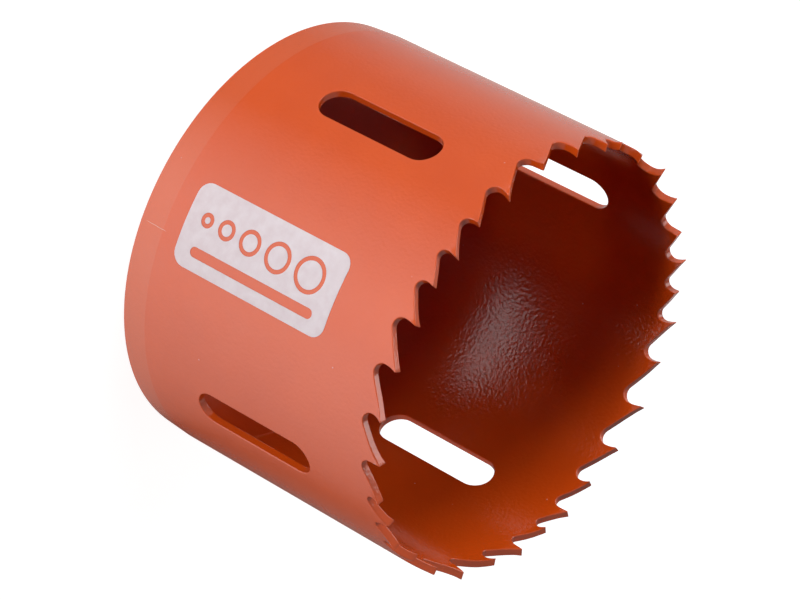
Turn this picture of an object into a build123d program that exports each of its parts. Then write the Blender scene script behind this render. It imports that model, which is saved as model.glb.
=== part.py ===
"""Bi-metal hole saw: a toothed steel strip rolled into a tube and welded, on a welded back plate.

Millimetres. The origin is the centre of the back face, and +Z points from there to the teeth.
The saw stands on its back plate and turns anticlockwise when seen from its teeth.
"""

import math
import os

from build123d import *

os.makedirs("parts", exist_ok=True)

# Tube
tube_diameter = 56.2
wall = 1.0
cutting_depth = 37.9
tube_radius = tube_diameter / 2
bore_radius = tube_radius - wall

# Back plate, with a 5/8"-18 arbor thread and holes for the arbor's drive pins
plate_thickness = 4.1
thread_minor_diameter = 14.5
thread_chamfer = 0.7
pin_hole_diameter = 7.0
pin_circle_diameter = 28.6
pin_hole_count = 4
first_pin_azimuth = 0.0

# Back end of the tube, dressed to a slight taper after the plate is welded in
height = plate_thickness + cutting_depth
rim_taper = 0.28
rim_chamfer = 0.3
weld_groove = 0.15

# Slots for pushing out the plugs
slot_count = 4
slot_length = 18.1
slot_width = 4.8
slot_top_below_tips = 11.4

# Toothing: for each tooth of one cycle, the arc from the tooth before it and its set
# The set is 0 for a straight tooth, -1 for one bent inward and 1 for one bent outward
tooth_cycle = [
    (4.6, 1),
    (5.4, -1),
    (6.25, 1),
    (6.25, 0),
    (5.8, -1),
    (4.9, 1),
    (4.3, -1),
]
first_tooth_azimuth = -131.5
shortest_seam_pitch = 2.4
set_offset = 0.45
set_height = 1.8

# Gullets, as shares of the pitch that they lie in, and always deeper than the bend of the teeth
gullet_depth_share = 0.475
gullet_radius_share = 0.19
rake_hook_share = 0.055
gullet_below_bend = 0.2
gullet_floor_flat = 0.12

# How far a cutter runs past the surfaces that it cuts
cutter_overrun = 2.0


def azimuth_of(arc):
    """Angle in degrees that an arc takes up on the tube's outside."""
    return math.degrees(arc / tube_radius)


def outward_at(azimuth):
    """Direction square to the tube's outside at an azimuth."""
    return Vector(1, 0, 0).rotate(Axis.Z, azimuth)


def radial_plane(azimuth):
    """Plane through the axis, with its X pointing outward at that azimuth and its Y along the axis."""
    outward = outward_at(azimuth)
    return Plane(origin=(0, 0, 0), x_dir=outward, z_dir=outward.cross(Vector(0, 0, 1)))


def tangent_plane(azimuth, level):
    """Plane on the tube's axis that faces outward, with its X round the tube and its Y along the axis."""
    outward = outward_at(azimuth)
    return Plane(origin=(0, 0, level), x_dir=Vector(0, 0, 1).cross(outward), z_dir=outward)


def walk_teeth():
    """Place teeth along the strip, clockwise seen from the tips, until the seam is reached.

    Each tooth is a dict of its azimuth, its set, and the pitches ahead of its rake face and behind it.
    """
    strip_length = math.pi * tube_diameter
    placed = []
    arc = 0.0
    step = 0
    pitch, bend = tooth_cycle[step]
    while arc + shortest_seam_pitch <= strip_length:
        placed.append({"azimuth": first_tooth_azimuth - azimuth_of(arc), "set": bend, "ahead": pitch})
        step += 1
        pitch, bend = tooth_cycle[step % len(tooth_cycle)]
        arc += pitch
    # The weld leaves one odd pitch, and the tooth beside it is not bent
    last_arc = arc - pitch
    placed[0]["ahead"] = strip_length - last_arc
    placed[-1]["set"] = 0
    for tooth, follower in zip(placed, placed[1:] + placed[:1]):
        tooth["behind"] = follower["ahead"]
    return placed


def gullet(pitch):
    """Depth of a gullet, radius of its floor, hook of its rake face, and place of its lowest point."""
    depth = max(gullet_depth_share * pitch, set_height + gullet_below_bend)
    radius = gullet_radius_share * pitch
    hook = rake_hook_share * pitch
    return {"depth": depth, "radius": radius, "hook": hook, "lowest": radius - hook}


teeth = walk_teeth()

with BuildPart() as saw_body:
    # Wall of the tube, straight up to the tips
    rim_radius = tube_radius - rim_taper
    with BuildSketch(Plane.XZ):
        with BuildLine():
            Polyline(
                (bore_radius, weld_groove),
                (bore_radius + weld_groove, 0),
                (rim_radius - rim_chamfer, 0),
                (rim_radius, rim_chamfer),
                (tube_radius, plate_thickness),
                (tube_radius, height),
                (bore_radius, height),
                (bore_radius, weld_groove),
            )
        make_face()
    revolve(axis=Axis.Z)

    # Plug slots
    slot_middle = height - slot_top_below_tips - slot_length / 2
    for number in range(slot_count):
        with BuildSketch(tangent_plane(number * 360 / slot_count, slot_middle)):
            SlotOverall(slot_length, slot_width, rotation=90)
        extrude(amount=tube_radius + cutter_overrun, mode=Mode.SUBTRACT)

    # Room for each set tooth: the straight wall above the bend is cleared
    bend_level = height - set_height
    for tooth in teeth:
        if tooth["set"]:
            back_arc = tooth["behind"] - gullet(tooth["behind"])["lowest"]
            front_arc = gullet(tooth["ahead"])["lowest"]
            with BuildSketch(radial_plane(tooth["azimuth"] - azimuth_of(back_arc))):
                with Locations((bore_radius + wall / 2, height)):
                    Rectangle(wall + cutter_overrun, 2 * set_height)
            revolve(axis=Axis.Z, revolution_arc=azimuth_of(back_arc + front_arc), mode=Mode.SUBTRACT)

    # Set teeth as blanks: a stretch of wall that leaves the bend upright and leans in or out
    for tooth in teeth:
        if tooth["set"]:
            lean = tooth["set"] * set_offset
            back_arc = tooth["behind"] - gullet(tooth["behind"])["lowest"] - gullet_floor_flat
            front_arc = gullet_floor_flat
            with BuildSketch(radial_plane(tooth["azimuth"] - azimuth_of(back_arc))):
                with BuildLine():
                    foot_in = (bore_radius, bend_level)
                    foot_out = (tube_radius, bend_level)
                    top_in = (bore_radius + lean, height)
                    top_out = (tube_radius + lean, height)
                    Line(foot_in, foot_out)
                    TangentArc(foot_out, top_out, tangent=(0, 1))
                    Line(top_out, top_in)
                    TangentArc(foot_in, top_in, tangent=(0, 1))
                make_face()
            revolve(axis=Axis.Z, revolution_arc=azimuth_of(back_arc + front_arc))

    # Gullets, cut square to each tooth: its rake face and the floor ahead, its clearance and the floor behind
    # The tooth's tip is at (0, 0), and the pitch ahead lies on the side of +X
    for tooth in teeth:
        ahead = gullet(tooth["ahead"])
        behind = gullet(tooth["behind"])

        # The rake face is an arc that runs into the floor's own
        rake_end = (-ahead["hook"], ahead["radius"] - ahead["depth"])
        rake_radius = (rake_end[0] ** 2 + rake_end[1] ** 2) / (2 * ahead["hook"])
        lowest_ahead = (ahead["lowest"], -ahead["depth"])

        # The clearance is a line from the tip that runs into the floor behind
        floor_behind = (behind["lowest"] - tooth["behind"], behind["radius"] - behind["depth"])
        lowest_behind = (floor_behind[0], -behind["depth"])
        to_tip = math.atan2(-floor_behind[1], -floor_behind[0])
        to_clearance = to_tip - math.acos(behind["radius"] / math.hypot(*floor_behind))
        clearance_end = (
            floor_behind[0] + behind["radius"] * math.cos(to_clearance),
            floor_behind[1] + behind["radius"] * math.sin(to_clearance),
        )

        with BuildSketch(tangent_plane(tooth["azimuth"], height)):
            with BuildLine():
                RadiusArc((0, 0), rake_end, rake_radius)
                RadiusArc(rake_end, lowest_ahead, -ahead["radius"])
                Polyline(
                    lowest_ahead,
                    (lowest_ahead[0] + gullet_floor_flat, lowest_ahead[1]),
                    (lowest_ahead[0] + gullet_floor_flat, cutter_overrun),
                    (lowest_behind[0] - gullet_floor_flat, cutter_overrun),
                    (lowest_behind[0] - gullet_floor_flat, lowest_behind[1]),
                    lowest_behind,
                )
                RadiusArc(lowest_behind, clearance_end, -behind["radius"])
                Line(clearance_end, (0, 0))
            make_face()
        extrude(amount=tube_radius + cutter_overrun, mode=Mode.SUBTRACT)

with BuildPart() as back_plate:
    with BuildSketch():
        Circle(bore_radius)
    extrude(amount=plate_thickness)
    chamfer(back_plate.edges().group_by(Axis.Z)[0], length=weld_groove)

    # Arbor thread, bored to its minor diameter
    with BuildSketch():
        Circle(thread_minor_diameter / 2)
    extrude(amount=plate_thickness, mode=Mode.SUBTRACT)
    chamfer(back_plate.edges(Select.LAST).filter_by(GeomType.CIRCLE), length=thread_chamfer)

    # Holes for the drive pins
    with BuildSketch():
        with PolarLocations(pin_circle_diameter / 2, pin_hole_count, start_angle=first_pin_azimuth):
            Circle(pin_hole_diameter / 2)
    extrude(amount=plate_thickness, mode=Mode.SUBTRACT)

saw_body.part.label = "saw_body"
back_plate.part.label = "back_plate"
export_step(saw_body.part, "parts/saw_body.step")
export_step(back_plate.part, "parts/back_plate.step")
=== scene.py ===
import math

import bpy
import numpy as np
from mathutils import Matrix, Vector
from mathutils.geometry import delaunay_2d_cdt

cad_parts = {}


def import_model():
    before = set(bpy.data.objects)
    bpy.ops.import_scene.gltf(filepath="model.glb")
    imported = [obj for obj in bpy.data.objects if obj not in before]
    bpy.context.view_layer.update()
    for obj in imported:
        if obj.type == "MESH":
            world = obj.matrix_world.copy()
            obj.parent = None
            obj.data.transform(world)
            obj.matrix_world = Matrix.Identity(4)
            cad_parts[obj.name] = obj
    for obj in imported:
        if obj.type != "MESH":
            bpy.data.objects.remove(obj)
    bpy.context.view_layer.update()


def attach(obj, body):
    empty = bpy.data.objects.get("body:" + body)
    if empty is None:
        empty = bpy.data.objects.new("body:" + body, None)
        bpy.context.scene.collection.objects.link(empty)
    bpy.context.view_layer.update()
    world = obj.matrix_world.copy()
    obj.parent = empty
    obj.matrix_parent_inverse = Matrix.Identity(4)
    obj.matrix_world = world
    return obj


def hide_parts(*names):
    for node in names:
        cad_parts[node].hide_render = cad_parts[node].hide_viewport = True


# Looks of a painted hole saw: the toothed tube, its threaded back plate, and a print on the outside.
# The meshes are worked out in millimetres, in the frame's own axes, and written in metres.
# The tube is drawn as a flat strip, with places (arc round the outside, level), and then rolled up.

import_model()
MM = 0.001

# Tube
TUBE_RADIUS = 28.1
WALL = 1.0
BORE_RADIUS = TUBE_RADIUS - WALL
STRIP_LENGTH = 2 * math.pi * TUBE_RADIUS
HEIGHT = 42.0
RIM_TAPER = 0.28
RIM_CHAMFER = 0.3
WELD_GROOVE = 0.15

# Back plate, and the shares of half a pitch that the thread's root and its flank take up
PLATE_THICKNESS = 4.1
THREAD_MINOR_RADIUS = 7.25
THREAD_MAJOR_RADIUS = 7.94
THREAD_PITCH = 25.4 / 18
THREAD_ROOT_SHARE = 0.14
THREAD_FLANK_SHARE = 0.6
THREAD_CHAMFER = 0.7
PIN_HOLE_RADIUS = 3.5
PIN_CIRCLE_RADIUS = 14.3
PIN_AZIMUTHS = (0, 90, 180, 270)
CORNER_FILLET = 0.4

# Plug slots, and the levels of the centres of their round ends
SLOT_AZIMUTHS = (0, 90, 180, 270)
SLOT_LENGTH = 18.1
SLOT_RADIUS = 2.4
SLOT_TOP_BELOW_TIPS = 11.4
SLOT_HIGH = HEIGHT - SLOT_TOP_BELOW_TIPS - SLOT_RADIUS
SLOT_LOW = HEIGHT - SLOT_TOP_BELOW_TIPS - SLOT_LENGTH + SLOT_RADIUS

# Toothing: for each tooth of one cycle, the arc from the tooth before it and its set
TOOTH_CYCLE = [(4.6, 1), (5.4, -1), (6.25, 1), (6.25, 0), (5.8, -1), (4.9, 1), (4.3, -1)]
FIRST_TOOTH_AZIMUTH = -131.5
SHORTEST_SEAM_PITCH = 2.4
SET_OFFSET = 0.45
SET_HEIGHT = 1.8
GULLET_DEPTH_SHARE = 0.475
GULLET_RADIUS_SHARE = 0.19
RAKE_HOOK_SHARE = 0.055
GULLET_BELOW_BEND = 0.2

# Paint rounds every edge, and rounds the tips less
EDGE_ROUND = 0.14
TIP_EDGE_ROUND = 0.04
TIP_RADIUS = 0.06
TIP_REACH = 1.0
LONGEST_MITRE = 2.0

# Steps along outlines, over rounded edges and tips, and round holes
OUTLINE_STEP = 0.35
EDGE_STEPS = 3
TIP_STEPS = 3
CORNER_STEPS = 6
PIN_HOLE_COLUMNS = 48
RING_COLUMNS = 40

# Points nearer to each other than this are one point to the triangulation
SAME_PLACE = 1e-7

# Points inside the teeth: their spacing, how far below the tips they begin, and their gap to the edge
TOOTH_FILL_STEP = 0.7
TOOTH_FILL_DEPTH = 3.3
TOOTH_FILL_GAP = 0.42

# Points on the tube's wall: how many round it, the level of the first row, the spacing of the rows, and how
# far they stay from the gullets, the slots and the end of the taper
COLUMNS = 144
SHEET_FOOT = 0.75
ROW_STEP = 4.0
GULLET_CLEARANCE = 1.2
SLOT_CLEARANCE = 1.0
CREASE = 0.18

# Where tube and plate meet: the flat beside the groove, the parts of the groove's normals, and the seat
GROOVE_FLAT = 0.05
GROOVE_NORMAL_LONG = 0.92
GROOVE_NORMAL_SHORT = 0.38
SEAT_OVERLAP = 0.03

# Points of the thread: how many round it, the spacing of its rows, the gap beside its ends, and how far up
# and down its slope is measured
THREAD_COLUMNS = 96
THREAD_ROW_STEP = 0.11
THREAD_END_GAP = 0.03
THREAD_SLOPE_REACH = 0.044

# Print: a field on the outside, with rings and a bar left open
PRINT_AZIMUTH = -46.1
PRINT_LEVEL = 18.65
PRINT_WIDTH = 10.6
PRINT_LENGTH = 24.1
PRINT_CORNER = 1.7
RING_COUNT = 5
SMALLEST_RING = 0.95
RING_GROWTH = 0.33
RING_STROKE = 0.55
RING_GAP = 0.9
RING_MARGIN = 2.1
RING_LINE = -1.1
BAR_LINE = 3.0
BAR_WIDTH = 1.3
BAR_LENGTH = 19.6
# A little under half the width, so that no two points of a round end fall on each other
BAR_CORNER = BAR_WIDTH / 2.01
INK_STEP = 0.9
INK_TOP = 0.03
INK_FOOT = 0.002

# Colours, linear
ENAMEL_DEEP = (0.68, 0.078, 0.005)
ENAMEL_LIGHT = (0.72, 0.087, 0.006)
# Paler orange that paints a sheen onto the tapered band beside the back end
RIM_SHEEN_COLOUR = (0.71, 0.11, 0.026)
NIB_COLOUR = (0.76, 0.3, 0.2)
SCRATCH_COLOUR = (0.75, 0.4, 0.3)
INK_THIN = (0.72, 0.62, 0.65)
INK_FULL = (0.78, 0.7, 0.73)
FLOOR_COLOUR = (0.45, 0.45, 0.45)
WHITE = (1, 1, 1, 1)

# Gloss of the paint and of the ink
ENAMEL_ROUGHNESS = (0.15, 0.2)
ENAMEL_IOR = 2.0
INK_ROUGHNESS = 0.5

# Grain of the soft patches in millimetres, and the values that their noise keeps to
COLOUR_GRAIN = 9.0
GLOSS_GRAIN = 2.5
INK_GRAIN = 1.2
NOISE_LOW = 0.3
NOISE_HIGH = 0.7

# Paint texture, in millimetres: orange peel, dust nibs, and a scratch beside the back end
PEEL_GRAIN = 0.43
PEEL_DETAIL = 1.5
PEEL_FINENESS = 0.4
PEEL_HEIGHT = 0.036
INK_PEEL_HEIGHT = 0.018
NIB_SPACING = 1.6
NIB_SIZE = 0.13
NIB_CORE = 0.039
NIB_SHARE = 0.08
# The painted sheen beside the back end lies outside this radius
RIM_BAND_INNER_RADIUS = 27.4
SCRATCH_AZIMUTH = -41.2
SCRATCH_MIDDLE = 2.75
SCRATCH_HALF_LENGTH = 1.85
SCRATCH_HALF_WIDTH = 0.035
SCRATCH_FULL_LENGTH_SHARE = 0.7
SCRATCH_FULL_WIDTH_SHARE = 0.5
SCRATCH_SWAY = 0.15
SCRATCH_SWAY_GRAIN = 1.5

# A Mix node's sockets for colours come after those for numbers and vectors
MIX_FIRST = 6
MIX_SECOND = 7
MIX_RESULT = 2

# Camera: its sensor and lens, where it aims and stands, and how far the picture is turned
CAMERA_SENSOR = 36
CAMERA_LENS = 160.9
CAMERA_AIM = (0.871, 0.314, 20.625)
CAMERA_AZIMUTH = -54.9
CAMERA_ELEVATION = 33.06
CAMERA_DISTANCE = 436.96
CAMERA_ROLL = 117.905

# Floor: its side in metres, its gap below the saw in millimetres, and its own strength for the camera
FLOOR_SIZE = 6
FLOOR_GAP = 0.02
FLOOR_LIFT = 0.93

# Lights: the distance of all of them in metres, and for each its azimuth, elevation, width and height in
# metres, power in watts, and whether gloss shows it
LIGHT_DISTANCE = 0.5
LIGHTS = {
    "key_light": (-43, 1, 0.3, 0.05, 1.22, False),
    "side_light": (22, 1, 0.25, 0.05, 0.8, False),
    "top_light": (-106, 9, 0.25, 0.1, 1.24, False),
    "mouth_light": (-130, 38, 0.35, 0.2, 0.45, False),
    "back_light": (188, 42, 0.35, 0.3, 0.5, True),
    "far_light": (135, 9, 0.4, 0.14, 1.15, False),
}

# What gloss shows of the floor and the sky: how bright each part is
GLOSS_WHITE = 1.0
GLOSS_GREY = 0.04
GLOSS_BEHIND = 0.33
GLOSS_SKY = 0.25

# The floor's white wedge in gloss: its corner, its direction, and the angles from there where it ends,
# where its fading ends, and where the paler part behind begins
WEDGE_CORNER = (9.3, -14.7, 0)
WEDGE_AZIMUTH = -22
WEDGE_HALF_ANGLE = 18
WEDGE_FADE_ANGLE = 85
WEDGE_BEHIND_ANGLE = 120
HOLE_GLOW_RADIUS = 10


def polar(centre, radius, angle):
    """The point at an angle on a circle."""
    return centre[0] + radius * math.cos(angle), centre[1] + radius * math.sin(angle)


def circle(radius, count, centre=(0, 0)):
    """Points of a circle, anticlockwise."""
    return [polar(centre, radius, 2 * math.pi * k / count) for k in range(count)]


def direction_of(azimuth, elevation):
    """Unit vector towards an azimuth and an elevation in degrees."""
    a, e = math.radians(azimuth), math.radians(elevation)
    return Vector((math.cos(e) * math.cos(a), math.cos(e) * math.sin(a), math.sin(e)))


def on_strip(azimuth):
    """Where an azimuth in degrees lies on the strip."""
    return math.radians(azimuth) * TUBE_RADIUS


def quarter_turn(steps):
    """Angles of a quarter turn in even steps, both ends included."""
    return [math.pi / 2 * step / steps for step in range(steps + 1)]


def edge_turns():
    """Steps over a rounded edge: a side, 1 for its first face and -1 for its second, and the turn there."""
    turns = quarter_turn(EDGE_STEPS)[1:]
    return [(1, turn) for turn in turns] + [(-1, turn) for turn in reversed(turns)]


def closed_edges(row):
    """Pairs of neighbours in a closed row."""
    return list(zip(row, row[1:] + row[:1]))


def walk_teeth():
    """Teeth along the strip, clockwise seen from the tips: where each is, its set and its two pitches."""
    placed = []
    arc = 0.0
    step = 0
    pitch, bend = TOOTH_CYCLE[step]
    while arc + SHORTEST_SEAM_PITCH <= STRIP_LENGTH:
        placed.append({"at": on_strip(FIRST_TOOTH_AZIMUTH) - arc, "set": bend, "ahead": pitch})
        step += 1
        pitch, bend = TOOTH_CYCLE[step % len(TOOTH_CYCLE)]
        arc += pitch
    # The weld leaves one odd pitch, and the tooth beside it is not bent
    placed[0]["ahead"] = STRIP_LENGTH - (arc - pitch)
    placed[-1]["set"] = 0
    for tooth, follower in closed_edges(placed):
        tooth["behind"] = follower["ahead"]
    return placed


def gullet(pitch):
    """Depth of a gullet, radius of its floor, hook of its rake face, and place of its lowest point."""
    depth = max(GULLET_DEPTH_SHARE * pitch, SET_HEIGHT + GULLET_BELOW_BEND)
    radius = GULLET_RADIUS_SHARE * pitch
    hook = RAKE_HOOK_SHARE * pitch
    return depth, radius, hook, radius - hook


def arc_points(centre, radius, start, end):
    """Points along an arc, with its end left out, evenly spaced by about the outline's step."""
    count = max(2, math.ceil(abs(end - start) * radius / OUTLINE_STEP))
    return [polar(centre, radius, start + (end - start) * k / count) for k in range(count)]


def line_points(start, end):
    """Points along a line, with its end left out, evenly spaced by about the outline's step."""
    count = max(1, math.ceil(math.dist(start, end) / OUTLINE_STEP))
    return [
        (start[0] + (end[0] - start[0]) * k / count, start[1] + (end[1] - start[1]) * k / count)
        for k in range(count)
    ]


def tooth_outline(tooth):
    """Outline of one tooth from the gullet behind it to the one ahead, with its tip at (0, 0)."""
    # Clearance: a line from the floor of the gullet behind to the tip
    depth, radius, _, lowest = gullet(tooth["behind"])
    floor_centre = (lowest - tooth["behind"], radius - depth)
    to_tip = math.atan2(-floor_centre[1], -floor_centre[0])
    to_clearance = to_tip - math.acos(radius / math.hypot(*floor_centre))
    clearance_end = polar(floor_centre, radius, to_clearance)
    points = arc_points(floor_centre, radius, -math.pi / 2, to_clearance)

    # Rake face: an arc from the tip to the floor of the gullet ahead
    depth, radius, hook, lowest = gullet(tooth["ahead"])
    drop = depth - radius
    rake_radius = (hook ** 2 + drop ** 2) / (2 * hook)
    rake_centre = (rake_radius - hook, -drop)
    rake_start = math.atan2(drop, -rake_centre[0])

    # Tip: an arc that touches the clearance and the rake face
    down_clearance = math.atan2(clearance_end[1], clearance_end[0]) % (2 * math.pi)
    down_rake = (rake_start + math.pi / 2) % (2 * math.pi)
    half_angle = (down_rake - down_clearance) / 2
    middle = (down_rake + down_clearance) / 2
    reach = TIP_RADIUS / math.tan(half_angle)
    tip_centre = polar((0, 0), TIP_RADIUS / math.sin(half_angle), middle)
    turn = math.pi - 2 * half_angle
    first = down_clearance - math.pi / 2

    points += line_points(clearance_end, polar((0, 0), reach, down_clearance))
    points += [polar(tip_centre, TIP_RADIUS, first - turn * k / TIP_STEPS) for k in range(TIP_STEPS + 1)]
    points += arc_points(rake_centre, rake_radius, rake_start + reach / rake_radius, math.pi)[1:]
    points += arc_points((lowest, -drop), radius, math.pi, 1.5 * math.pi)
    return points


def outward_normals(loop):
    """In-plane normals of a closed loop, on its left, and the mitre factor at each point."""
    points = np.array(loop)
    ahead = np.roll(points, -1, axis=0) - points
    ahead /= np.linalg.norm(ahead, axis=1)[:, None]
    behind = np.roll(ahead, 1, axis=0)
    left_ahead = np.stack([-ahead[:, 1], ahead[:, 0]], axis=1)
    left_behind = np.stack([-behind[:, 1], behind[:, 0]], axis=1)
    normals = left_ahead + left_behind
    normals /= np.linalg.norm(normals, axis=1)[:, None]
    mitre = 1 / np.clip(np.sum(normals * left_ahead, axis=1), 1 / LONGEST_MITRE, 1)
    return normals, mitre


def edge_loop(points, normals, mitre, rounding, bends):
    """An edge on the strip: its points, and at each its normal, its rounding, that mitred, and its set."""
    return {
        "points": np.array(points),
        "normals": normals,
        "reach": rounding * mitre,
        "round": rounding,
        "set": bends,
    }


def toothed_loop():
    """The toothed edge, from left to right."""
    teeth = sorted(walk_teeth(), key=lambda tooth: tooth["at"])
    points = []
    rounding = []
    bends = []
    for tooth in teeth:
        for u, v in tooth_outline(tooth):
            points.append((tooth["at"] + u, HEIGHT + v))
            share = min(1.0, math.hypot(u, v) / TIP_REACH)
            rounding.append(TIP_EDGE_ROUND + (EDGE_ROUND - TIP_EDGE_ROUND) * share ** 2)
            bends.append(tooth["set"])

    # The neighbours beyond the seam give the first and the last point their normals
    points = np.array(points)
    around = (STRIP_LENGTH, 0)
    normals, mitre = outward_normals(np.vstack([points[-1] - around, points, points[0] + around]))
    return edge_loop(points, normals[1:-1], mitre[1:-1], np.array(rounding), np.array(bends))


def slot_loop(middle):
    """One slot's edge, anticlockwise seen from outside."""
    left, right = middle - SLOT_RADIUS, middle + SLOT_RADIUS
    points = line_points((right, SLOT_LOW), (right, SLOT_HIGH))
    points += arc_points((middle, SLOT_HIGH), SLOT_RADIUS, 0, math.pi)
    points += line_points((left, SLOT_HIGH), (left, SLOT_LOW))
    points += arc_points((middle, SLOT_LOW), SLOT_RADIUS, math.pi, 2 * math.pi)
    normals, mitre = outward_normals(points)
    return edge_loop(points, normals, mitre, np.full(len(points), EDGE_ROUND), np.zeros(len(points)))


def slots_from(start):
    """The slots' edges and middles on the strip that begins at start."""
    slots = []
    middles = []
    for azimuth in SLOT_AZIMUTHS:
        middle = on_strip(azimuth)
        shift = math.floor((middle - start) / STRIP_LENGTH) * STRIP_LENGTH
        slot = slot_loop(middle)
        slot["points"] -= (shift, 0)
        slots.append(slot)
        middles.append(middle - shift)
    return slots, middles


def in_slot(place, middles, margin):
    """Whether a place on the strip lies in a slot or within a margin of it."""
    level = min(max(place[1], SLOT_LOW), SLOT_HIGH)
    return any(math.hypot(place[0] - middle, place[1] - level) < SLOT_RADIUS + margin for middle in middles)


def inset_of(loop, share=1.0):
    """The loop's points moved into the metal by a share of its edge rounding."""
    return loop["points"] - loop["normals"] * (loop["reach"] * share)[:, None]


def lean(levels, bends):
    """How far set teeth stand out or in at each level, and the slope of their lean there."""
    above = np.clip(levels - (HEIGHT - SET_HEIGHT), 0, None)
    radius = (SET_OFFSET ** 2 + SET_HEIGHT ** 2) / (2 * SET_OFFSET)
    root = np.sqrt(radius ** 2 - above ** 2)
    return bends * (radius - root), bends * above / root


def wrap(places, radii, bends, normals):
    """Roll places on the strip into the tube. Each normal is (outward, round the tube, up)."""
    azimuths = places[:, 0] / TUBE_RADIUS
    cos, sin = np.cos(azimuths), np.sin(azimuths)
    offset, slope = lean(places[:, 1], bends)
    radii = radii + offset
    points = np.stack([radii * cos, radii * sin, places[:, 1]], axis=1)
    out, around, up = normals.T
    rolled = np.stack([out * cos - around * sin, out * sin + around * cos, up - slope * out], axis=1)
    return points, rolled / np.linalg.norm(rolled, axis=1)[:, None]


class Surface:
    """Points, normals and faces of one piece, in millimetres, gathered part by part."""

    def __init__(self):
        self.points = []
        self.normals = []
        self.faces = []

    def add(self, points, normals):
        """Add points with their normals, and return their numbers."""
        first = len(self.points)
        self.points.extend(map(tuple, points))
        self.normals.extend(map(tuple, normals))
        return list(range(first, len(self.points)))

    def both_sides(self, upper, lower, triangles):
        """The triangles between a sheet's upper points, and turned over between its lower ones."""
        self.faces += [tuple(upper[k] for k in triangle) for triangle in triangles]
        self.faces += [tuple(lower[k] for k in reversed(triangle)) for triangle in triangles]

    def strip(self, lower, upper):
        """Quads between two closed rows, seen from where lower runs to the right with upper above it."""
        for (a, b), (c, d) in zip(closed_edges(lower), closed_edges(upper)):
            self.faces.append((a, b, d, c))

    def revolve(self, row, profile, directions, hollow=False, centre=(0, 0)):
        """Rings that follow a row, one for each (radius, level, outward, up) of a profile: the last one.

        Outward and up are the normal's parts. A hollow form is seen from its axis, the others from outside.
        """
        for radius, level, out, up in profile:
            points = [(centre[0] + radius * x, centre[1] + radius * y, level) for x, y in directions]
            following = self.add(points, [(out * x, out * y, up) for x, y in directions])
            if hollow:
                self.strip(row, following)
            else:
                self.strip(following, row)
            row = following
        return row

    def to_object(self, name, material):
        """Write the piece as a smooth mesh that keeps these normals."""
        mesh = bpy.data.meshes.new(name)
        mesh.from_pydata([(x * MM, y * MM, z * MM) for x, y, z in self.points], [], self.faces)
        mesh.materials.append(material)
        mesh.shade_smooth()
        mesh.normals_split_custom_set_from_vertices(self.normals)
        piece = bpy.data.objects.new(name, mesh)
        bpy.context.scene.collection.objects.link(piece)
        return piece


def flat_triangles(points, edges, is_open):
    """Triangles between points that keep the edges, anticlockwise, without those whose middle is open."""
    inside_only = 1
    found = delaunay_2d_cdt([Vector(p) for p in points], edges, [], inside_only, SAME_PLACE)
    faces, origins = found[2], found[3]
    triangles = []
    for face in faces:
        corners = [origins[k][0] for k in face]
        a, b, c = (points[k] for k in corners)
        if is_open(((a[0] + b[0] + c[0]) / 3, (a[1] + b[1] + c[1]) / 3)):
            continue
        turn = (b[0] - a[0]) * (c[1] - a[1]) - (b[1] - a[1]) * (c[0] - a[0])
        triangles.append(corners if turn > 0 else corners[::-1])
    return triangles


def number_loops(loops, places):
    """Add closed loops to the places, and return the numbers of each loop's points and their edges."""
    rows = []
    edges = []
    for loop in loops:
        row = list(range(len(places), len(places) + len(loop)))
        places += loop
        edges += closed_edges(row)
        rows.append(row)
    return rows, edges


def tooth_fill(edge, bends):
    """Points inside the teeth, clear of their edge, with the set of each."""
    columns = np.arange(edge[0, 0], edge[-1, 0], TOOTH_FILL_STEP)
    levels = np.arange(HEIGHT - TOOTH_FILL_DEPTH, HEIGHT, TOOTH_FILL_STEP)
    grid = np.array([(s, z) for z in levels for s in columns])

    # A point is inside where an odd number of the edge's segments pass above it
    s, z = grid[:, :1], grid[:, 1:]
    starts, ends = edge[:-1], edge[1:]
    spans = (starts[:, 0] <= s) != (ends[:, 0] <= s)
    run = ends[:, 0] - starts[:, 0]
    run[run == 0] = 1
    crossing = starts[:, 1] + (s - starts[:, 0]) / run * (ends[:, 1] - starts[:, 1])
    grid = grid[np.sum(spans & (crossing > z), axis=1) % 2 == 1]

    gaps = np.hypot(grid[:, :1] - edge[:, 0], grid[:, 1:] - edge[:, 1])
    clear = gaps.min(axis=1) > TOOTH_FILL_GAP
    nearest = gaps.argmin(axis=1)
    return grid[clear], bends[nearest[clear]]


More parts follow.
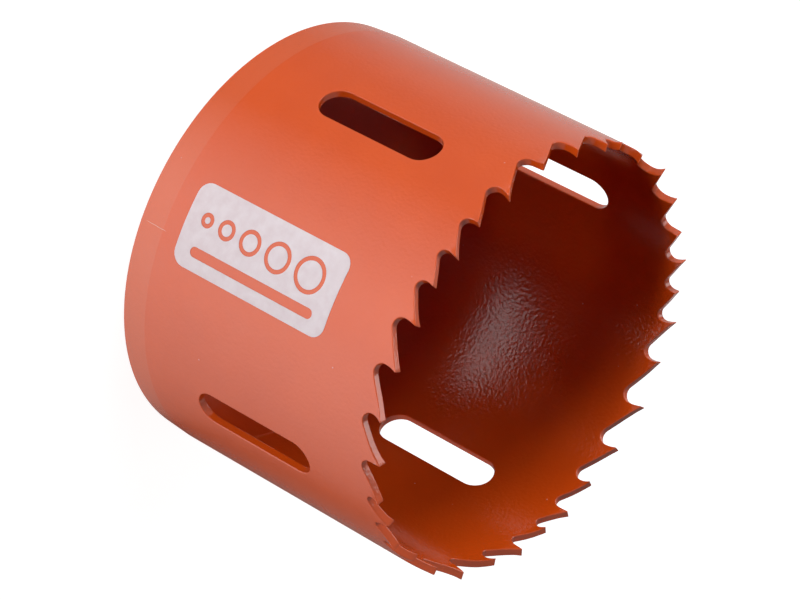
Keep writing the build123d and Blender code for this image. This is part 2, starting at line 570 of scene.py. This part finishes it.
def tube_sheet(toothed, slots, middles, columns):
    """The tube's wall on the strip, inside its rounded edges.

    It returns the places with their sets, the triangles between them, and the numbers of the points along
    the foot, along the crown of teeth and round each slot.
    """
    crown_edge = inset_of(toothed)
    low = PLATE_THICKNESS + CREASE
    high = crown_edge[:, 1].min() - GULLET_CLEARANCE
    count = math.ceil((high - low) / ROW_STEP)
    levels = [PLATE_THICKNESS - CREASE, low]
    levels += [low + (high - low) * (k + 1) / count for k in range(count)]
    places = []
    bends = []

    def put(points, sets):
        """Add points with their sets, and return their numbers."""
        first = len(places)
        places.extend(map(tuple, points))
        bends.extend(sets)
        return list(range(first, len(places)))

    foot = put([(s, SHEET_FOOT) for s in columns], [0] * len(columns))
    seam = put([(columns[0], z) for z in levels], [0] * len(levels))
    crown = put(crown_edge, toothed["set"])
    holes = [put(inset_of(slot), slot["set"]) for slot in slots]
    grid = [(s, z) for z in levels for s in columns[1:] if not in_slot((s, z), middles, SLOT_CLEARANCE)]
    put(grid, [0] * len(grid))
    whole_edge = np.vstack([crown_edge, crown_edge[0] + (STRIP_LENGTH, 0)])
    put(*tooth_fill(whole_edge, np.append(toothed["set"], 0)))

    # The strip's right end has copies of the points at its left end, which stand in for them only here
    own = len(places)
    left = [foot[0], *seam, crown[0]]
    right = put([(places[k][0] + STRIP_LENGTH, places[k][1]) for k in left], [bends[k] for k in left])
    edges = closed_edges([*foot, *right, *reversed(crown), *reversed(seam)])
    for hole in holes:
        edges += closed_edges(hole)
    triangles = flat_triangles(places, edges, lambda place: in_slot(place, middles, EDGE_ROUND))
    original = dict(zip(right, left))
    triangles = [[original.get(k, k) for k in triangle] for triangle in triangles]
    return np.array(places[:own]), np.array(bends[:own], float), triangles, foot, crown, holes


def tube_wall_radius(levels):
    """Outside radius of the tube, which tapers beside the back plate, and its slope."""
    radii = TUBE_RADIUS - RIM_TAPER * np.clip(1 - levels / PLATE_THICKNESS, 0, 1)
    return radii, np.where(levels < PLATE_THICKNESS, RIM_TAPER / PLATE_THICKNESS, 0.0)


def back_end_profile():
    """The tube's back end: round the outside, across the end and into the groove beside the plate."""
    profile = []
    for turn in quarter_turn(EDGE_STEPS):
        radius = TUBE_RADIUS - RIM_TAPER - RIM_CHAMFER * (1 - math.cos(turn))
        profile.append((radius, RIM_CHAMFER * (1 - math.sin(turn)), math.cos(turn), -math.sin(turn)))
    groove = BORE_RADIUS + WELD_GROOVE
    profile.append((groove + GROOVE_FLAT, 0, 0, -1))
    profile.append((groove, 0, -GROOVE_NORMAL_SHORT, -GROOVE_NORMAL_LONG))
    profile.append((BORE_RADIUS, WELD_GROOVE, -GROOVE_NORMAL_LONG, -GROOVE_NORMAL_SHORT))
    return profile


def painted_tube(material):
    """The toothed tube: an outer and an inner sheet, joined at the teeth, in the slots and at the back."""
    toothed = toothed_loop()
    start = toothed["points"][0, 0]
    slots, middles = slots_from(start)
    columns = [start + STRIP_LENGTH * k / COLUMNS for k in range(COLUMNS)]
    places, bends, triangles, foot, crown, holes = tube_sheet(toothed, slots, middles, columns)

    surface = Surface()
    flat = np.zeros(len(places))
    radii, slopes = tube_wall_radius(places[:, 1])
    outer = surface.add(*wrap(places, radii, bends, np.stack([flat + 1, flat, -slopes], axis=1)))
    inner = surface.add(*wrap(places, flat + BORE_RADIUS, bends, np.stack([flat - 1, flat, flat], axis=1)))
    surface.both_sides(outer, inner, triangles)

    # Rounded edges: from the outer sheet over the edge's face to the inner sheet
    for loop, rim in zip([toothed, *slots], [crown, *holes]):
        row = [outer[k] for k in rim]
        for side, turn in edge_turns():
            depth = loop["round"] * (1 - math.cos(turn))
            radii = TUBE_RADIUS - depth if side == 1 else BORE_RADIUS + depth
            out = np.full(len(rim), side * math.cos(turn))
            normals = np.column_stack([out, loop["normals"] * math.sin(turn)])
            following = surface.add(*wrap(inset_of(loop, 1 - math.sin(turn)), radii, loop["set"], normals))
            surface.strip(row, following)
            row = following
        surface.strip(row, [inner[k] for k in rim])

    directions = [polar((0, 0), 1, s / TUBE_RADIUS) for s in columns]
    row = surface.revolve([outer[k] for k in foot], back_end_profile(), directions)
    surface.strip([inner[k] for k in foot], row)
    return surface.to_object("painted_tube", material)


def thread_radius(azimuth, level):
    """Radius of the arbor thread's wall: a right-hand thread with a chamfer at both ends."""
    phase = (level / THREAD_PITCH - azimuth / (2 * math.pi)) % 1
    from_root = abs(2 * phase - 1)
    flank = min(max((from_root - THREAD_ROOT_SHARE) / THREAD_FLANK_SHARE, 0), 1)
    thread = THREAD_MAJOR_RADIUS - (THREAD_MAJOR_RADIUS - THREAD_MINOR_RADIUS) * flank
    from_end = min(level, PLATE_THICKNESS - level)
    return max(thread, THREAD_MINOR_RADIUS + THREAD_CHAMFER - from_end)


def thread_ring(level):
    """Points round the arbor thread at one level, and their normals."""
    points = []
    normals = []
    for k in range(THREAD_COLUMNS):
        azimuth = 2 * math.pi * k / THREAD_COLUMNS
        radius = thread_radius(azimuth, level)
        above = thread_radius(azimuth, level + THREAD_SLOPE_REACH)
        below = thread_radius(azimuth, level - THREAD_SLOPE_REACH)
        rise = (above - below) / (2 * THREAD_SLOPE_REACH)
        twist = -rise * THREAD_PITCH / (2 * math.pi * radius)
        normal = Vector((-1, twist, rise)).normalized()
        cos, sin = math.cos(azimuth), math.sin(azimuth)
        points.append((radius * cos, radius * sin, level))
        normals.append((normal.x * cos - normal.y * sin, normal.x * sin + normal.y * cos, normal.z))
    return points, normals


def threaded_plate(material):
    """The back plate: threaded bore, four drive-pin holes, and a bead of paint where it meets the tube."""
    hole_centres = [polar((0, 0), PIN_CIRCLE_RADIUS, math.radians(azimuth)) for azimuth in PIN_AZIMUTHS]
    bore_mouth = THREAD_MINOR_RADIUS + THREAD_CHAMFER
    hole_mouth = PIN_HOLE_RADIUS + EDGE_ROUND
    bead_foot = BORE_RADIUS - CORNER_FILLET
    loops = [circle(bead_foot, COLUMNS), circle(bore_mouth, THREAD_COLUMNS)]
    loops += [circle(hole_mouth, PIN_HOLE_COLUMNS, centre) for centre in hole_centres]
    places = []
    (outline, bore, *rims), edges = number_loops(loops, places)

    def is_open(place):
        """Whether a place lies in the bore or in a drive-pin hole."""
        in_bore = math.hypot(*place) < bore_mouth
        return in_bore or any(math.dist(place, centre) < hole_mouth for centre in hole_centres)

    surface = Surface()
    triangles = flat_triangles(places, edges, is_open)
    back_places = circle(BORE_RADIUS - WELD_GROOVE, COLUMNS) + places[COLUMNS:]
    top = surface.add([(x, y, PLATE_THICKNESS) for x, y in places], [(0, 0, 1)] * len(places))
    bottom = surface.add([(x, y, 0) for x, y in back_places], [(0, 0, -1)] * len(places))
    surface.both_sides(top, bottom, triangles)

    # Outside: the bead of paint in the corner, the side that sits in the tube, and the groove at the back
    profile = []
    for turn in quarter_turn(2 * EDGE_STEPS)[1:]:
        radius = bead_foot + (CORNER_FILLET + SEAT_OVERLAP) * math.sin(turn)
        level = PLATE_THICKNESS + CORNER_FILLET * (1 - math.cos(turn))
        profile.append((radius, level, -math.sin(turn), math.cos(turn)))
    profile.append((BORE_RADIUS + SEAT_OVERLAP, PLATE_THICKNESS, 1, 0))
    profile.append((BORE_RADIUS + SEAT_OVERLAP, WELD_GROOVE, GROOVE_NORMAL_LONG, -GROOVE_NORMAL_SHORT))
    row = surface.revolve([top[k] for k in outline], profile, circle(1, COLUMNS))
    surface.strip([bottom[k] for k in outline], row)

    # Drive-pin holes, with rounded edges
    profile = []
    for side, turn in edge_turns():
        radius = PIN_HOLE_RADIUS + EDGE_ROUND * (1 - math.sin(turn))
        depth = EDGE_ROUND * (1 - math.cos(turn))
        level = PLATE_THICKNESS - depth if side == 1 else depth
        profile.append((radius, level, -math.sin(turn), side * math.cos(turn)))
    directions = circle(1, PIN_HOLE_COLUMNS)
    for centre, rim in zip(hole_centres, rims):
        row = surface.revolve([top[k] for k in rim], profile, directions, hollow=True, centre=centre)
        surface.strip(row, [bottom[k] for k in rim])

    # Threaded bore
    count = math.ceil(PLATE_THICKNESS / THREAD_ROW_STEP)
    levels = [PLATE_THICKNESS * (1 - k / count) for k in range(1, count)]
    row = [top[k] for k in bore]
    for level in [PLATE_THICKNESS - THREAD_END_GAP, *levels, THREAD_END_GAP]:
        following = surface.add(*thread_ring(level))
        surface.strip(row, following)
        row = following
    surface.strip(row, [bottom[k] for k in bore])
    return surface.to_object("threaded_plate", material)


def rounded_box(width, length, radius, centre):
    """A rounded rectangle on the strip, anticlockwise: width round the tube, length along it."""
    points = []
    for quarter, (x, y) in enumerate([(1, -1), (1, 1), (-1, 1), (-1, -1)]):
        corner = (centre[0] + x * (width / 2 - radius), centre[1] + y * (length / 2 - radius))
        start = (quarter - 1) * math.pi / 2
        points += [polar(corner, radius, start + turn) for turn in quarter_turn(CORNER_STEPS)]
    return points


def side_print(material):
    """Ink on the tube: a plain field with rings of growing size and a bar left open, as hole sizes."""
    middle = on_strip(PRINT_AZIMUTH)
    bar_middle = middle + BAR_LINE
    rings = []
    level = PRINT_LEVEL - PRINT_LENGTH / 2 + RING_MARGIN
    for number in range(RING_COUNT):
        radius = SMALLEST_RING + number * RING_GROWTH
        level += radius
        rings.append(((middle + RING_LINE, level), radius))
        level += radius + RING_GAP

    def is_open(place):
        """Whether a place lies in a ring's stroke or in the bar."""
        if any(radius - RING_STROKE <= math.dist(place, centre) < radius for centre, radius in rings):
            return True
        past_straight = max(abs(place[1] - PRINT_LEVEL) - (BAR_LENGTH - BAR_WIDTH) / 2, 0)
        return math.hypot(place[0] - bar_middle, past_straight) < BAR_WIDTH / 2

    # Outlines, each with whether the ink lies inside it
    outlines = [(rounded_box(PRINT_WIDTH, PRINT_LENGTH, PRINT_CORNER, (middle, PRINT_LEVEL)), True)]
    outlines += [(circle(radius, RING_COLUMNS, centre), False) for centre, radius in rings]
    outlines.append((rounded_box(BAR_WIDTH, BAR_LENGTH, BAR_CORNER, (bar_middle, PRINT_LEVEL)), False))
    outlines += [(circle(radius - RING_STROKE, RING_COLUMNS, centre), True) for centre, radius in rings]
    loops = [[point for side in closed_edges(loop) for point in line_points(*side)] for loop, _ in outlines]

    places = []
    for x in np.arange(-PRINT_WIDTH / 2, PRINT_WIDTH / 2, INK_STEP):
        for y in np.arange(-PRINT_LENGTH / 2, PRINT_LENGTH / 2, INK_STEP):
            place = (middle + x, PRINT_LEVEL + y)
            gap = min(math.dist(place, point) for loop in loops for point in loop)
            if gap > INK_STEP / 2 and not is_open(place):
                places.append(place)
    rows, edges = number_loops(loops, places)
    triangles = flat_triangles(places, edges, is_open)

    surface = Surface()
    sheet = np.array(places)
    flat = np.zeros(len(sheet))
    out = np.stack([flat + 1, flat, flat], axis=1)
    upper = surface.add(*wrap(sheet, flat + TUBE_RADIUS + INK_TOP, flat, out))
    lower = surface.add(*wrap(sheet, flat + TUBE_RADIUS + INK_FOOT, flat, -out))
    surface.both_sides(upper, lower, triangles)
    for (_, inked), row in zip(outlines, rows):
        upper_row = [upper[k] for k in row]
        lower_row = [lower[k] for k in row]
        if inked:
            surface.strip(lower_row, upper_row)
        else:
            surface.strip(upper_row, lower_row)
    return surface.to_object("side_print", material)


def new_material(name):
    """A material with only a Principled shader: the material, its node tree and that shader."""
    material = bpy.data.materials.new(name)
    material.use_nodes = True
    tree = material.node_tree
    return material, tree, tree.nodes["Principled BSDF"]


def add_node(tree, kind, inputs=None, **settings):
    """Add a shader node with its settings and its constant inputs."""
    node = tree.nodes.new(kind)
    for name, value in settings.items():
        setattr(node, name, value)
    for name, value in (inputs or {}).items():
        node.inputs[name].default_value = value
    return node


def object_place(tree):
    """Where a point lies in the object's own frame, in metres."""
    return add_node(tree, "ShaderNodeTexCoord").outputs["Object"]


def noise(tree, place, grain, detail=2.0, roughness=0.5):
    """Noise whose features are about grain millimetres wide."""
    inputs = {"Scale": 1 / (grain * MM), "Detail": detail, "Roughness": roughness}
    node = add_node(tree, "ShaderNodeTexNoise", inputs)
    tree.links.new(place, node.inputs["Vector"])
    return node.outputs["Fac"]


def remap(tree, value, low, high, to_low, to_high):
    """Map a value from one range to another."""
    limits = {"From Min": low, "From Max": high, "To Min": to_low, "To Max": to_high}
    node = add_node(tree, "ShaderNodeMapRange", limits)
    tree.links.new(value, node.inputs["Value"])
    return node.outputs["Result"]


def patches(tree, place, grain, low=0, high=1):
    """Soft patches about grain millimetres wide, with values from low to high."""
    return remap(tree, noise(tree, place, grain), NOISE_LOW, NOISE_HIGH, low, high)


def fade(tree, value, full, gone):
    """1 up to one value and 0 from another one on."""
    return remap(tree, value, full, gone, 1, 0)


def mix_colours(tree, share, first, second):
    """Mix two colours, each a constant or a socket."""
    node = add_node(tree, "ShaderNodeMix", data_type="RGBA")
    tree.links.new(share, node.inputs["Factor"])
    for number, colour in ((MIX_FIRST, first), (MIX_SECOND, second)):
        if isinstance(colour, tuple):
            node.inputs[number].default_value = (*colour, 1)
        else:
            tree.links.new(colour, node.inputs[number])
    return node.outputs[MIX_RESULT]


def combine(tree, operation, first, second=0):
    """Math on two values, each a constant or a socket."""
    node = add_node(tree, "ShaderNodeMath", operation=operation)
    for socket, value in zip(node.inputs, (first, second)):
        if isinstance(value, (int, float)):
            socket.default_value = value
        else:
            tree.links.new(value, socket)
    return node.outputs[0]


def vector_math(tree, operation, place, constant=(0, 0, 0)):
    """Vector math on a place and a constant, with a vector as its result."""
    node = add_node(tree, "ShaderNodeVectorMath", {1: constant}, operation=operation)
    tree.links.new(place, node.inputs[0])
    return node.outputs["Vector"]


def along(tree, place, direction):
    """How far a place lies along a direction."""
    node = add_node(tree, "ShaderNodeVectorMath", {1: direction}, operation="DOT_PRODUCT")
    tree.links.new(place, node.inputs[0])
    return node.outputs["Value"]


def length_of(tree, place):
    """How far a place lies from the origin."""
    node = add_node(tree, "ShaderNodeVectorMath", operation="LENGTH")
    tree.links.new(place, node.inputs[0])
    return node.outputs["Value"]


def nibs(tree, place):
    """Dust nibs in the paint: sparse round dots, 1 in their middle and 0 outside."""
    cells = add_node(tree, "ShaderNodeTexVoronoi", {"Scale": 1 / (NIB_SPACING * MM)})
    tree.links.new(place, cells.inputs["Vector"])
    dot = fade(tree, cells.outputs["Distance"], NIB_CORE / NIB_SPACING, NIB_SIZE / NIB_SPACING)
    pick = add_node(tree, "ShaderNodeSeparateXYZ")
    tree.links.new(cells.outputs["Color"], pick.inputs[0])
    return combine(tree, "MULTIPLY", dot, combine(tree, "LESS_THAN", pick.outputs["X"], NIB_SHARE))


def painted_sheen_band(tree, place):
    """Where a sheen is painted into the colour: 1 on the tapered outside of the tube beside its back end,
    and 0 elsewhere.
    """
    from_axis = length_of(tree, vector_math(tree, "MULTIPLY", place, (1, 1, 0)))
    outside = combine(tree, "GREATER_THAN", from_axis, RIM_BAND_INNER_RADIUS * MM)
    level = along(tree, place, (0, 0, 1))
    low = fade(tree, level, (PLATE_THICKNESS - CREASE) * MM, PLATE_THICKNESS * MM)
    return combine(tree, "MULTIPLY", outside, low)


def scratch(tree, place):
    """One thin scratch along the tube's outside, beside its back end."""
    across = along(tree, place, direction_of(SCRATCH_AZIMUTH + 90, 0))
    wander = noise(tree, place, SCRATCH_SWAY_GRAIN)
    sway = remap(tree, wander, 0, 1, -SCRATCH_SWAY * MM, SCRATCH_SWAY * MM)
    offset = combine(tree, "ABSOLUTE", combine(tree, "ADD", across, sway))
    half_width = SCRATCH_HALF_WIDTH * MM
    line = fade(tree, offset, SCRATCH_FULL_WIDTH_SHARE * half_width, half_width)
    level = along(tree, place, (0, 0, 1))
    from_middle = combine(tree, "ABSOLUTE", combine(tree, "SUBTRACT", level, SCRATCH_MIDDLE * MM))
    half_length = SCRATCH_HALF_LENGTH * MM
    stretch = fade(tree, from_middle, SCRATCH_FULL_LENGTH_SHARE * half_length, half_length)
    outward = along(tree, place, direction_of(SCRATCH_AZIMUTH, 0))
    outside = combine(tree, "GREATER_THAN", outward, BORE_RADIUS * MM)
    return combine(tree, "MULTIPLY", combine(tree, "MULTIPLY", line, stretch), outside)


def peel(tree, place):
    """Orange peel of the sprayed paint."""
    return noise(tree, place, PEEL_GRAIN, detail=PEEL_DETAIL, roughness=PEEL_FINENESS)


def raise_by(tree, shader, relief, height):
    """Bump a shader's surface by a relief, which is up to height millimetres high."""
    bump = add_node(tree, "ShaderNodeBump", {"Strength": 1.0, "Distance": height * MM})
    tree.links.new(relief, bump.inputs["Height"])
    tree.links.new(bump.outputs["Normal"], shader.inputs["Normal"])


def enamel():
    """Sprayed orange enamel: a little cloudy, paler at the back end where a sheen is painted into it, with
    peel, nibs and a scratch.
    """
    material, tree, shader = new_material("orange_enamel")
    place = object_place(tree)
    dots = nibs(tree, place)
    colour = mix_colours(tree, patches(tree, place, COLOUR_GRAIN), ENAMEL_DEEP, ENAMEL_LIGHT)
    # Painted sheen: paler orange on the tapered band beside the back end
    colour = mix_colours(tree, painted_sheen_band(tree, place), colour, RIM_SHEEN_COLOUR)
    colour = mix_colours(tree, dots, colour, NIB_COLOUR)
    colour = mix_colours(tree, scratch(tree, place), colour, SCRATCH_COLOUR)
    tree.links.new(colour, shader.inputs["Base Color"])
    tree.links.new(patches(tree, place, GLOSS_GRAIN, *ENAMEL_ROUGHNESS), shader.inputs["Roughness"])
    shader.inputs["IOR"].default_value = ENAMEL_IOR
    raise_by(tree, shader, combine(tree, "ADD", peel(tree, place), dots), PEEL_HEIGHT)
    return material


def ink():
    """White printing ink: slightly cool, thin enough for the enamel's peel to show in it."""
    material, tree, shader = new_material("white_ink")
    place = object_place(tree)
    colour = mix_colours(tree, patches(tree, place, INK_GRAIN), INK_THIN, INK_FULL)
    tree.links.new(colour, shader.inputs["Base Color"])
    shader.inputs["Roughness"].default_value = INK_ROUGHNESS
    raise_by(tree, shader, peel(tree, place), INK_PEEL_HEIGHT)
    return material


def seen_in_gloss(tree, paths):
    """1 for rays that leave a glossy surface before any diffuse one, and 0 for the rest."""
    no_diffuse = combine(tree, "LESS_THAN", paths.outputs["Diffuse Depth"], 1)
    return combine(tree, "MULTIPLY", paths.outputs["Is Glossy Ray"], no_diffuse)


def gloss_board(tree):
    """What gloss shows of the floor: how bright it is at each place.

    It is white in a wedge that opens towards the print and under the arbor hole, grey behind the saw, and
    nearly black elsewhere.
    """
    place = object_place(tree)
    from_corner = vector_math(tree, "SUBTRACT", place, tuple(x * MM for x in WEDGE_CORNER))
    towards = vector_math(tree, "NORMALIZE", from_corner)
    ahead = along(tree, towards, direction_of(WEDGE_AZIMUTH, 0))
    angles = (WEDGE_HALF_ANGLE, WEDGE_FADE_ANGLE, WEDGE_BEHIND_ANGLE)
    white, dark, behind = (math.cos(math.radians(angle)) for angle in angles)
    wedge = remap(tree, ahead, dark, white, GLOSS_GREY, GLOSS_WHITE)
    back = remap(tree, ahead, behind, -1, 0, GLOSS_BEHIND)
    under_hole = combine(tree, "LESS_THAN", length_of(tree, place), HOLE_GLOW_RADIUS * MM)
    return combine(tree, "MAXIMUM", combine(tree, "MAXIMUM", wedge, back), under_hole)


def floor():
    """A plain white floor that keeps the saw's soft shadow, with a light of its own for camera and gloss."""
    bpy.ops.mesh.primitive_plane_add(size=FLOOR_SIZE, location=(0, 0, -FLOOR_GAP * MM))
    plane = bpy.context.object
    plane.name = "floor"
    material, tree, shader = new_material("white_floor")
    tree.nodes.remove(shader)
    paths = add_node(tree, "ShaderNodeLightPath")
    in_gloss = combine(tree, "MULTIPLY", seen_in_gloss(tree, paths), gloss_board(tree))
    by_camera = combine(tree, "MULTIPLY", paths.outputs["Is Camera Ray"], FLOOR_LIFT)
    glow = add_node(tree, "ShaderNodeEmission")
    tree.links.new(combine(tree, "ADD", in_gloss, by_camera), glow.inputs["Strength"])
    lit = add_node(tree, "ShaderNodeBsdfDiffuse", {"Color": (*FLOOR_COLOUR, 1)})
    total = add_node(tree, "ShaderNodeAddShader")
    tree.links.new(lit.outputs[0], total.inputs[0])
    tree.links.new(glow.outputs[0], total.inputs[1])
    tree.links.new(total.outputs[0], tree.nodes["Material Output"].inputs["Surface"])
    plane.data.materials.append(material)


def soft_light(name, azimuth, elevation, width, height, power, in_gloss):
    """An area light that faces the saw's middle."""
    data = bpy.data.lights.new(name, "AREA")
    data.shape = "RECTANGLE"
    data.size = width
    data.size_y = height
    data.energy = power
    lamp = bpy.data.objects.new(name, data)
    bpy.context.scene.collection.objects.link(lamp)
    middle = Vector((0, 0, HEIGHT / 2 * MM))
    direction = direction_of(azimuth, elevation)
    lamp.location = middle + LIGHT_DISTANCE * direction
    lamp.rotation_euler = direction.to_track_quat("Z", "Y").to_euler()
    lamp.visible_glossy = in_gloss


def world():
    """White behind the saw and dim in gloss. It gives no other light."""
    surroundings = bpy.data.worlds.new("studio")
    bpy.context.scene.world = surroundings
    surroundings.use_nodes = True
    tree = surroundings.node_tree
    glow = tree.nodes["Background"]
    glow.inputs["Color"].default_value = WHITE
    paths = add_node(tree, "ShaderNodeLightPath")
    in_gloss = combine(tree, "MULTIPLY", seen_in_gloss(tree, paths), GLOSS_SKY)
    tree.links.new(combine(tree, "ADD", in_gloss, paths.outputs["Is Camera Ray"]), glow.inputs["Strength"])


def photo_camera():
    """The photograph's view of the saw: the frame is turned, because the saw lies on its side there."""
    data = bpy.data.cameras.new("camera")
    data.sensor_width = CAMERA_SENSOR
    data.lens = CAMERA_LENS
    camera = bpy.data.objects.new("camera", data)
    bpy.context.scene.collection.objects.link(camera)
    towards = direction_of(CAMERA_AZIMUTH, CAMERA_ELEVATION)
    level = towards.to_track_quat("Z", "Y").to_matrix()
    turned = level @ Matrix.Rotation(math.radians(CAMERA_ROLL), 3, "Z")
    place = Vector(CAMERA_AIM) * MM + towards * CAMERA_DISTANCE * MM
    camera.matrix_world = Matrix.Translation(place) @ turned.to_4x4()
    bpy.context.scene.camera = camera


orange = enamel()
for make, node in ((painted_tube, "saw_body"), (threaded_plate, "back_plate")):
    piece = make(orange)
    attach(piece, "root")
    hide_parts(node)
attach(side_print(ink()), "root")

floor()
world()
for name, settings in LIGHTS.items():
    soft_light(name, *settings)
photo_camera()
bpy.context.scene.view_settings.view_transform = "Standard"
